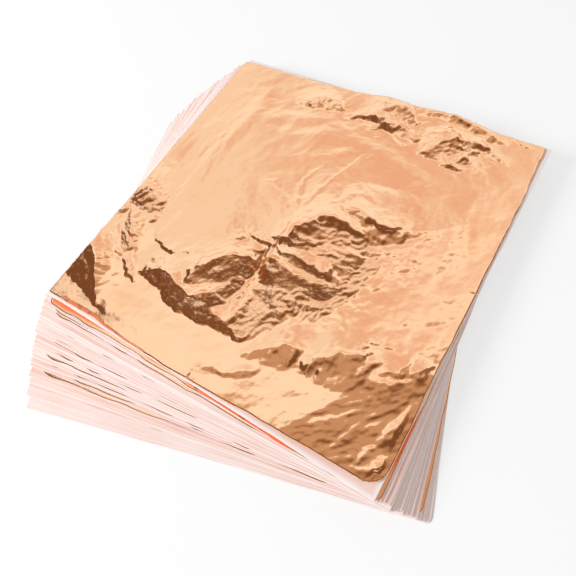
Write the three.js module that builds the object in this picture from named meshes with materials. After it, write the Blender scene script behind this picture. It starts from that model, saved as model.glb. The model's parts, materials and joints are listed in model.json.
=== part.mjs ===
// A pad of copper leaf: square leaves of crinkled foil, each lying loose on its own sheet of tissue paper,
// with the whole pile fanned about a point near its right-hand edge. The uppermost leaf is the crumpled one
// that shows.
//
// Millimetres, +Z up. The origin is the middle of the lowest tissue's underside. X runs along that tissue's
// front edge to the right and Y runs to its back edge. Leaf and tissue 01 are the uppermost pair.
import * as THREE from "three";

// Driving dimensions of the sheets
const PAIR_COUNT = 25;
const LEAF_SIDE = 140;
const LEAF_THICKNESS = 0.1;
const LEAF_CORNER_RADIUS = 2.4;
const TISSUE_MARGIN = 1.3;
const TISSUE_THICKNESS = 0.16;
const TISSUE_CORNER_RADIUS = 2.6;
const AIR_GAP = 0.05;
const CORNER_STEPS = 3;

// How the pile lies: the fan of the uppermost pair against the lowest, its pivot near the right-hand edge,
// and how far the sheets have slipped and turned out of true
const FAN_DEGREES = 16.7;
const PIVOT_FROM_EDGE = 5.4;
const PIVOT_FROM_MIDDLE = 17.5;
const TISSUE_SLIP = 0.35;
const LEAF_SLIP = 0.8;
const STRAY_DEGREES = 0.2;

// The uppermost leaf has turned on its tissue, and the one below has slid out towards the front right
// corner
const TOP_LEAF_SLIP = new THREE.Vector2(-0.2, 0);
const TOP_LEAF_TURN_DEGREES = 0.8;
const SECOND_LEAF_SLIP = new THREE.Vector2(1.9, -2.0);

// The crumple of the uppermost leaf: how many facets it has along a side, and how high its swells and folds
// stand
const CRUMPLE_FACETS = 24;
const BUBBLE_HEIGHT = 1.5;
const LIFTED_EDGE_HEIGHT = 1.4;
const RISE_HEIGHT = 0.7;
const BUBBLE_FRONT_HEIGHT = 4.2;
const FOOT_HEIGHT = 4.2;
const RIB_HEIGHT = 3.3;
const TONGUE_HEIGHT = 2.2;
const BACK_FOLD_HEIGHT = 2.6;
const RIPPLE_HEIGHT = 1.3;

// Each swell is an oval hump. Its middle and its reach along and across are shares of half the leaf's side,
// and its long axis is turned by so many degrees.
const SWELLS = [
  { name: "air bubble", x: -0.34, y: 0.2, along: 0.94, across: 0.66, turn: 20, height: BUBBLE_HEIGHT },
  { name: "left edge", x: -1, y: 0.09, along: 0.37, across: 0.2, turn: 90, height: LIFTED_EDGE_HEIGHT },
  { name: "left crumple", x: -0.9, y: -0.26, along: 0.3, across: 0.2, turn: 0, height: LIFTED_EDGE_HEIGHT },
  { name: "back edge", x: 0.23, y: 1.04, along: 0.66, across: 0.2, turn: 0, height: LIFTED_EDGE_HEIGHT },
  { name: "left plateau", x: -0.66, y: 0.49, along: 0.37, across: 0.26, turn: 60, height: RISE_HEIGHT },
  { name: "right plateau", x: 0.49, y: 0.4, along: 0.4, across: 0.23, turn: 30, height: RISE_HEIGHT },
  { name: "right rise", x: 0.89, y: -0.53, along: 0.49, across: 0.34, turn: 45, height: RISE_HEIGHT },
];

// Each fold falls away in a steep face, which looks in a direction given in degrees, and behind its crest it
// eases down over a longer stretch. The crest is a line of points [x, y, width of the face]. All of these
// lengths are shares of half the leaf's side, and a fold stands full height where its face is widest.
const FOLDS = [
  {
    name: "bubble's left front",
    looks: -47,
    height: BUBBLE_FRONT_HEIGHT,
    back: 0.31,
    crest: [[-0.34, -0.6, 0], [-0.28, -0.44, 0.12], [-0.18, -0.34, 0.15], [-0.02, -0.29, 0]],
  },
  {
    name: "bubble's right front",
    looks: -55,
    height: BUBBLE_FRONT_HEIGHT,
    back: 0.21,
    crest: [[0.02, -0.2, 0], [0.08, -0.06, 0.1], [0.17, 0.07, 0.12], [0.29, 0.07, 0.11], [0.47, 0.04, 0]],
  },
  {
    name: "bubble's foot",
    looks: -80,
    height: FOOT_HEIGHT,
    back: 0.14,
    crest: [[-0.63, -0.67, 0], [-0.35, -0.61, 0.12], [-0.12, -0.66, 0.09], [0.14, -0.72, 0]],
  },
  {
    name: "left foot",
    looks: -103,
    height: FOOT_HEIGHT,
    back: 0.23,
    crest: [[-1.02, -0.67, 0.21], [-0.9, -0.74, 0.17], [-0.82, -0.82, 0.1], [-0.66, -0.96, 0]],
  },
  {
    name: "ribs below the bubble",
    looks: -74,
    height: RIB_HEIGHT,
    back: 0.2,
    crest: [[0.02, -0.28, 0], [0.06, -0.29, 0.13], [0.14, -0.3, 0.11], [0.34, -0.29, 0.09], [0.42, -0.28, 0]],
  },
  {
    name: "left of the vein",
    looks: -20,
    height: RIB_HEIGHT,
    back: 0.14,
    crest: [[-0.21, -0.68, 0], [-0.14, -0.62, 0.1], [-0.07, -0.51, 0.06], [-0.03, -0.34, 0]],
  },
  {
    name: "front tongue",
    looks: -52,
    height: TONGUE_HEIGHT,
    back: 0.14,
    crest: [[0.14, -0.81, 0], [0.26, -0.69, 0.1], [0.36, -0.63, 0.12], [0.44, -0.59, 0]],
  },
  {
    name: "right tongue",
    looks: -56,
    height: TONGUE_HEIGHT,
    back: 0.2,
    crest: [[0.44, -0.72, 0], [0.52, -0.61, 0.11], [0.65, -0.53, 0.17], [0.74, -0.53, 0]],
  },
  {
    name: "front right corner",
    looks: -47,
    height: RIPPLE_HEIGHT,
    back: 0.16,
    crest: [[0.51, -1.03, 0], [0.63, -0.83, 0.24], [0.74, -0.6, 0.28], [0.86, -0.52, 0.22], [1.03, -0.43, 0]],
  },
  {
    name: "back edge, left",
    looks: -52,
    height: BACK_FOLD_HEIGHT,
    back: 0.11,
    crest: [[-0.34, 0.81, 0], [-0.11, 0.95, 0.1], [0.11, 1, 0.14], [0.29, 0.97, 0]],
  },
  {
    name: "back edge, right",
    looks: -52,
    height: BACK_FOLD_HEIGHT,
    back: 0.11,
    crest: [[0.4, 0.72, 0], [0.6, 0.87, 0.1], [0.77, 0.91, 0.1], [0.94, 0.95, 0]],
  },
  {
    name: "plateau",
    looks: 125,
    height: RIPPLE_HEIGHT,
    back: 0.17,
    crest: [[0.2, 0.09, 0], [0.37, 0.13, 0.29], [0.51, 0.14, 0.31], [0.66, 0.21, 0.26], [0.8, 0.39, 0]],
  },
];

const COPPER_COLOUR = 0xf6c59c;
const TISSUE_COLOUR = 0xf6e4df;

const TISSUE_SIDE = LEAF_SIDE + 2 * TISSUE_MARGIN;
const PAIR_PITCH = LEAF_THICKNESS + TISSUE_THICKNESS + 2 * AIR_GAP;
const PIVOT = new THREE.Vector3(TISSUE_SIDE / 2 - PIVOT_FROM_EDGE, -PIVOT_FROM_MIDDLE, 0);

const copper = new THREE.MeshStandardMaterial({ color: COPPER_COLOUR, roughness: 0.3, metalness: 1 });
const tissue = new THREE.MeshStandardMaterial({ color: TISSUE_COLOUR, roughness: 0.9, metalness: 0 });

// A square outline with small round corners, centred on the origin.
function squareOutline(side, cornerRadius) {
  const half = side / 2;
  const straight = half - cornerRadius;
  const outline = new THREE.Shape();
  outline.moveTo(-straight, -half);
  outline.absarc(straight, -straight, cornerRadius, -Math.PI / 2, 0);
  outline.absarc(straight, straight, cornerRadius, 0, Math.PI / 2);
  outline.absarc(-straight, straight, cornerRadius, Math.PI / 2, Math.PI);
  outline.absarc(-straight, -straight, cornerRadius, Math.PI, Math.PI * 1.5);
  return outline;
}

// A flat sheet with its underside at z = 0.
function flatSheet(side, thickness, cornerRadius) {
  const options = { depth: thickness, bevelEnabled: false, curveSegments: CORNER_STEPS };
  return new THREE.ExtrudeGeometry(squareOutline(side, cornerRadius), options);
}

// A place on the leaf in axes turned by so many degrees.
function turned(x, y, degrees) {
  const angle = THREE.MathUtils.degToRad(degrees);
  const [along, across] = [Math.cos(angle), Math.sin(angle)];
  return [x * along + y * across, y * along - x * across];
}

// The height of one swell at a point of the leaf, given in shares of half its side: full at the swell's
// middle, easing to nothing at its reach.
function swellHeight(swell, x, y) {
  const [along, across] = turned(x - swell.x, y - swell.y, swell.turn);
  const away = Math.hypot(along / swell.along, across / swell.across);
  return swell.height * (1 - THREE.MathUtils.smoothstep(away, 0, 1));
}

// The height of one fold at a point of the leaf, given in shares of half its side.
function foldHeight(fold, x, y) {
  const [out, along] = turned(x, y, fold.looks);
  const crest = fold.crest.map(([crestX, crestY, width]) => {
    const [crestOut, crestAlong] = turned(crestX, crestY, fold.looks);
    return { out: crestOut, along: crestAlong, width };
  });
  crest.sort((a, b) => a.along - b.along);
  const next = crest.findIndex((point) => point.along > along);
  if (next < 1) {
    return 0;
  }
  const [before, after] = [crest[next - 1], crest[next]];
  const share = (along - before.along) / (after.along - before.along);
  const width = THREE.MathUtils.lerp(before.width, after.width, share);
  const ahead = out - THREE.MathUtils.lerp(before.out, after.out, share);
  const profile = ahead > 0 ? Math.max(width - ahead, 0) : width * Math.exp(ahead / fold.back);
  return (fold.height * profile) / Math.max(...crest.map((point) => point.width));
}

// The place of the underside among the six faces of a box geometry.
const BOX_UNDERSIDE = 5;

// Splits each quad of one face of a box along its other diagonal. The underside of a plate then creases along
// the same lines as its top, so that the plate keeps its thickness.
function turnDiagonals(box, face) {
  const corners = box.getIndex();
  const { start, count } = box.groups[face];
  const cornersPerQuad = 6;
  for (let first = start; first < start + count; first += cornersPerQuad) {
    corners.setX(first + 2, corners.getX(first + 4));
    corners.setX(first + 3, corners.getX(first));
  }
}

// The crumpled leaf: a thin plate whose facets follow the swells and folds, with its underside at z = 0 where
// it lies flat.
function crumpledLeaf() {
  const plate = new THREE.BoxGeometry(
    LEAF_SIDE,
    LEAF_SIDE,
    LEAF_THICKNESS,
    CRUMPLE_FACETS,
    CRUMPLE_FACETS,
    1,
  );
  turnDiagonals(plate, BOX_UNDERSIDE);
  plate.translate(0, 0, LEAF_THICKNESS / 2);
  const points = plate.getAttribute("position");
  for (let i = 0; i < points.count; i++) {
    const x = points.getX(i) / (LEAF_SIDE / 2);
    const y = points.getY(i) / (LEAF_SIDE / 2);
    const swells = SWELLS.reduce((sum, swell) => sum + swellHeight(swell, x, y), 0);
    const folds = FOLDS.reduce((sum, fold) => sum + foldHeight(fold, x, y), 0);
    points.setZ(i, points.getZ(i) + swells + folds);
  }
  return plate;
}

// A repeatable scatter from -1 to 1, different for every sheet and every use.
function scatter(sheet, use) {
  const wave = Math.sin(sheet * 12.9898 + use * 78.233) * 43758.5453;
  return 2 * (wave - Math.floor(wave)) - 1;
}

// One sheet in its fan group, at its height, slipped and turned a little out of true.
function layIn(fan, name, geometry, material, z, slip, turnDegrees) {
  const sheet = new THREE.Mesh(geometry, material);
  sheet.name = name;
  sheet.position.set(slip.x - PIVOT.x, slip.y - PIVOT.y, z);
  sheet.rotation.z = THREE.MathUtils.degToRad(turnDegrees);
  fan.add(sheet);
}

// A leaf and the tissue under it, turned together about the fan's pivot. Pair 1 is uppermost, and the lowest
// pair lies square to the axes.
function makePair(number) {
  const fromBottom = PAIR_COUNT - number;
  const fan = new THREE.Group();
  fan.position.copy(PIVOT);
  fan.rotation.z = -THREE.MathUtils.degToRad((FAN_DEGREES * fromBottom) / (PAIR_COUNT - 1));

  const label = String(number).padStart(2, "0");
  const tissueZ = fromBottom * PAIR_PITCH;
  const leafZ = tissueZ + TISSUE_THICKNESS + AIR_GAP;

  const tissueStrays = number > 1 && number < PAIR_COUNT;
  const tissueSlip = new THREE.Vector2();
  if (tissueStrays) {
    tissueSlip.set(scatter(number, 1), scatter(number, 2)).multiplyScalar(TISSUE_SLIP);
  }
  const tissueTurn = tissueStrays ? STRAY_DEGREES * scatter(number, 3) : 0;
  const tissueSheet = flatSheet(TISSUE_SIDE, TISSUE_THICKNESS, TISSUE_CORNER_RADIUS);
  layIn(fan, `tissue_${label}`, tissueSheet, tissue, tissueZ, tissueSlip, tissueTurn);

  if (number === 1) {
    layIn(fan, `leaf_${label}`, crumpledLeaf(), copper, leafZ, TOP_LEAF_SLIP, TOP_LEAF_TURN_DEGREES);
  } else {
    const stray = new THREE.Vector2(scatter(number, 4), scatter(number, 5)).multiplyScalar(LEAF_SLIP);
    const leafSlip = number === 2 ? SECOND_LEAF_SLIP : stray;
    const leafTurn = STRAY_DEGREES * scatter(number, 6);
    const leafSheet = flatSheet(LEAF_SIDE, LEAF_THICKNESS, LEAF_CORNER_RADIUS);
    layIn(fan, `leaf_${label}`, leafSheet, copper, leafZ, leafSlip, leafTurn);
  }
  return fan;
}

const pad = new THREE.Group();
for (let number = 1; number <= PAIR_COUNT; number++) {
  pad.add(makePair(number));
}

export default pad;
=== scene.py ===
"""Looks of a fanned pad of copper leaf and tissue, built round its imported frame.

Metres, in the frame's own axes. A sheet is shaped in millimetres, from its middle: x to the right along its
front edge and y to its back edge. Pair 1 is the uppermost leaf and tissue.
"""

import json
import math

import bpy
import numpy as np
from mathutils import Matrix, Vector


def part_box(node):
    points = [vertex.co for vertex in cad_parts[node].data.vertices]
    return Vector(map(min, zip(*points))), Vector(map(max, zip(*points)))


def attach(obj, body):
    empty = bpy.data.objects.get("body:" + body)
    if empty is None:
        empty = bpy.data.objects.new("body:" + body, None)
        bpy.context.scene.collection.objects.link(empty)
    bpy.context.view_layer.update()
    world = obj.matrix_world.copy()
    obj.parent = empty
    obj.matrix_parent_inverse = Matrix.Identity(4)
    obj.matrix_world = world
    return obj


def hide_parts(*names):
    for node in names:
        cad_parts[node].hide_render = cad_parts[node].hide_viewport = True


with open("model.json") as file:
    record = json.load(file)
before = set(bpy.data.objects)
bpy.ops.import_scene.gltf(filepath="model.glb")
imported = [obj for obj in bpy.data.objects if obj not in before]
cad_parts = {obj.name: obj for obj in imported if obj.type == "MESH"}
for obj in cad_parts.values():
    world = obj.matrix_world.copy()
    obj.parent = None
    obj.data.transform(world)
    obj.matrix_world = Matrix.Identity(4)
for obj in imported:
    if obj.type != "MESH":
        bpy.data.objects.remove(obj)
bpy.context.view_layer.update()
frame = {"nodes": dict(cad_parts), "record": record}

MM = 0.001
TINY = 1e-9
PAIR_COUNT = sum(node.startswith("tissue") for node in frame["nodes"])

# The photograph's camera: place, turns in degrees about its axes, from a view straight down, and focal
# length in pixels of the frame
CAMERA_PLACE = Vector((54.3, -79.7, 155.9)) * MM
CAMERA_TURNS = [(31.0, "Z"), (28.9, "X"), (-17.6, "Z")]
FOCAL_PIXELS = 474
FRAME_PIXELS = 576
SENSOR_WIDTH = 36
CLIP_START = 0.01

# Surroundings that the foil mirrors: colour by angle from the far horizon (0) over the top to the horizon
# behind the camera (180), and the level direction of the far side
FAR_SIDE = (-0.455, 0.888, 0)
BRIGHT = (1.0, 1.0, 1.0)
BRIGHTEST = (1.12, 1.14, 1.18)
DIM = (0.9, 0.68, 0.6)
TAN = (0.86, 0.73, 0.63)
BROWN = (0.62, 0.45, 0.33)
DARK_BROWN = (0.48, 0.32, 0.22)
UMBER = (0.3, 0.18, 0.11)
DEEP_BROWN = (0.2, 0.1, 0.055)
HALF_TURN = 180
SURROUNDINGS = [
    (0, BRIGHTEST), (24, BRIGHTEST), (36, BRIGHT), (54, BRIGHT), (62, BRIGHTEST), (73, BRIGHTEST), (76, TAN),
    (80, BROWN), (90, BROWN), (96, DARK_BROWN), (103, UMBER), (110, DEEP_BROWN), (150, DEEP_BROWN),
    (166, BRIGHT), (180, BRIGHT),
]

# Round panels in the surroundings: direction, angles from it where a panel fades and ends, colour
PANELS = [
    ("back panel", (-0.075, 0.635, 0.768), 3, 20, DIM),
    ("left panel", (-0.785, -0.12, 0.607), 17, 23, DEEP_BROWN),
    ("low left panel", (-0.92, -0.31, 0.24), 26, 36, DEEP_BROWN),
    ("far left panel", (-0.937, 0.195, 0.28), 14, 20, DEEP_BROWN),
    ("right panel", (0.692, 0.24, 0.68), 13, 19, UMBER),
]

# Daylight from all round, and a lamp on the left that shades the right of the fan
DAYLIGHT = 0.6
LAMP_PLACE = Vector((-0.77, -0.36, 0.53))
LAMP_SIZE = 0.4
LAMP_WATTS = 7.5

# The floor: white to the eye by the share of its glow, with shadows by the rest
FLOOR = (0.97, 0.97, 0.965)
FLOOR_REACH = 8
FLOOR_ROUGHNESS = 0.9
FLOOR_GLOW = 0.6

# Copper: tones of foil, and of the painted reflection on rims where foil mirrors foil, from dark specks of
# painted shade to reddish, over a noise; spots of noise to a metre, depths of grain and of creases in metres
COPPER_TONES = [(0.1, (0.93, 0.53, 0.29)), (0.45, (0.96, 0.59, 0.35))]
PAINTED_REFLECTION_TONES = [(0.34, (0.28, 0.1, 0.04)), (0.42, (1.0, 0.19, 0.05))]
TONE_SPOTS = 60
PAINTED_REFLECTION_SPOTS = 330
COPPER_SPOTS = 700
CREASE_SPOTS = 520
CREASE_HARSHNESS = 0.65
COPPER_ROUGHNESS = (0.05, 0.13)
GRAIN_STRENGTH = 0.2
COPPER_GRAIN = 0.0002
CREASE_GRAIN = 0.0004

# Tissue: tones over a noise that differs by sheet, colour of its stripes and of its painted rim highlight
TISSUE_TONES = [(0.3, (0.88, 0.51, 0.42)), (0.6, (0.94, 0.69, 0.61))]
TISSUE_PALE_AND_HIGHLIGHT = (0.98, 0.91, 0.89)
TINT_SPOTS = (30, 30, 4000)
FIBRE_SPOTS = 700
FIBRE_GRAIN = 0.0001
TISSUE_ROUGHNESS = 0.85
TISSUE_SHEEN = 0.25

# Sheets are thinner than their solids, which leaves room for waves and uneven spacing. A leaf lies close
# on its tissue
LEAF_THICKNESS = 0.02
TISSUE_THICKNESS = 0.04
LEAF_DROP = 0.14
PAIR_SHIFT = 0.07
WAVE_HEIGHT = 0.07
WAVE_LENGTH = 24

# A flat sheet's mesh: cells along a side, and how closely its lines gather at the edges, from 0 to 1
SHEET_CELLS = 64
RIM_CLOSENESS = 0.955

# Corner radii of the flat sheets. Below the given pairs a leaf's front left corner is worn, and a tissue's
# front right one grows rounder
LEAF_CORNER = 2.0
WORN_CORNER = 10.0
WORN_BELOW = 2
TISSUE_CORNER = 0.4
CORNER_GROWTH = 0.25
GROWS_BELOW = 18

# How edges wander: how far in long waves, in short ones along x and y, lengths of both. It reaches in by a
# share of half a flat sheet's side, or by a distance on the uppermost leaf
LEAF_WANDER = (0.3, (0.2, 0.55), (34, 6))
TISSUE_WANDER = (0.25, (0.1, 0.1), (34, 6))
TOP_WANDER = (0.3, (0.2, 0.2), (20, 5))
WANDER_SHARE = 0.1
WANDER_REACH = 10

# How leaves have slipped, by pair: forward at the left and right ends, the usual slip of the others, and
# to the right. Below the given pair, whole pairs have slid too
SLIPS = {
    2: (0.3, -1.2), 3: (-0.3, 0.7), 5: (-0.15, 0.5), 7: (0, 0.4), 10: (-0.15, 1), 11: (0, 0.2), 14: (0, 0.5),
    16: (-0.2, 1.3), 18: (-0.2, 0.4), 22: (0.1, 0.4),
}
USUAL_SLIP = (-0.5, 0.6)
SIDE_SLIPS = {2: -0.5, 8: 1.1, 13: 1.2, 20: 1.7}
PAIR_SLIDE = 0.45
SLIDES_BELOW = 2

# How far the left and right edges of the upper sheets draw in, by pair
SIDE_TRIMS = {1: 1.0, 2: 1.0, 3: 0.7, 4: 0.4}

# Paleness of a tissue: in stripes, which fade between two distances from the edge, on its rim as a painted
# highlight, and by a step for each pair below the given one
STRIPE_PALENESS = 0.9
STRIPE_FADE = (3, 6)
HIGHLIGHT_RIM = 0.3
PALER_BELOW = 20
PALER_STEP = 0.1

# Seeds of the scatter
SEEDS_PER_PAIR = 20
LEAF_SEED = 4
WAVE_SEED = 9
SLIDE_SEEDS = (7, 9)
SHIFT_SEEDS = (3, 5)
STRIPE_SEED = 21
RAGGED_SEED = 11
PLEAT_SEED = 31
GRAIN_SEED = 61
CRINKLE_SEED = 100
SEEDS_PER_CRINKLE = 10
TOP_SEED = 401

# Painted reflection on the rims of the two uppermost leaves, reddish where foil mirrors foil: the place
# along the front edge, then the width of the first leaf's rim, or how far in the second leaf's begins
TOP_RIM = [(-64, 0), (-62, 1.6), (-42, 1.6), (-40, 0.6), (-22, 0.5), (-19, 0)]
NEXT_RIM = [
    (-70, 0.5), (-45, 0.7), (-40, 1.4), (-20, 1.4), (-17, 0.8), (-3, 0.8), (4, 0), (10, -0.4), (36, -0.4),
    (46, 0.6),
]

# The first leaf's rim: least width, share of height it loses, how quickly its painted reflection grows full
LEAST_RIM = 0.1
RIM_FLATTENING = 0.7
PAINTED_REFLECTION_GAIN = 4

# The second leaf's rim: how softly its painted reflection begins, between which distances from the edge it
# fades, where it ends. Painted reflection on its right side lies beyond this x, and fades away from a middle
NEXT_PAIR = 2
NEXT_RIM_START = 0.4
NEXT_RIM_FADE = (3, 5)
NEXT_RIM_END = 60
SIDE_RIM_FROM = 64
SIDE_RIM_MIDDLE = -50
SIDE_RIM_FADE = (6, 12)

# The uppermost leaf's mesh: cells along a side, and how many of them an underside cell spans
LEAF_CELLS = 280
UNDERSIDE_SPAN = 4

# Corner radii of the uppermost leaf: front left, front right, back left, back right
TOP_CORNERS = (0.8, 6.0, 1.5, 1.0)

# How far the uppermost leaf's front edge lies back, by x, and its right edge stands out, by y
FRONT_EDGE = [(-70, 0.3), (-46, 0.5), (-36, -0.4), (-10, -0.8), (10, -0.4), (24, 0.2), (60, 0.5), (70, 0.8)]
RIGHT_EDGE = [
    (-64, -0.6), (-56, -0.2), (-40, -0.4), (-30, -0.5), (-15, -0.3), (0, 0), (40, -0.1), (66, -0.4),
]

# The left edge draws in where it is raised, by a share of its height, within a distance of the edge
LEFT_PULL = 0.95
LEFT_REACH = 30

# Heights of the uppermost leaf: where it is calm, and below which it settles on its tissue
CALM_HEIGHT = 0.3
LAID_FLAT = 0.12

# Swells of the uppermost leaf: middle, reach along and across, turn in degrees, height
SWELLS = [
    ("air bubble", -24, 14, 66, 46, 20, 1.5),
    ("left edge", -71, 6, 26, 14, 90, 1.5),
    ("back edge", 16, 73, 46, 14, 0, 1.5),
    ("plateau right", 34, 28, 28, 16, 30, 0.5),
    ("plateau left", -46, 34, 26, 18, 60, 0.5),
    ("front roll", -22, -61, 44, 8, 2, 0.35),
    ("right rise", 62, -37, 34, 24, 45, 0.3),
]

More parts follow.
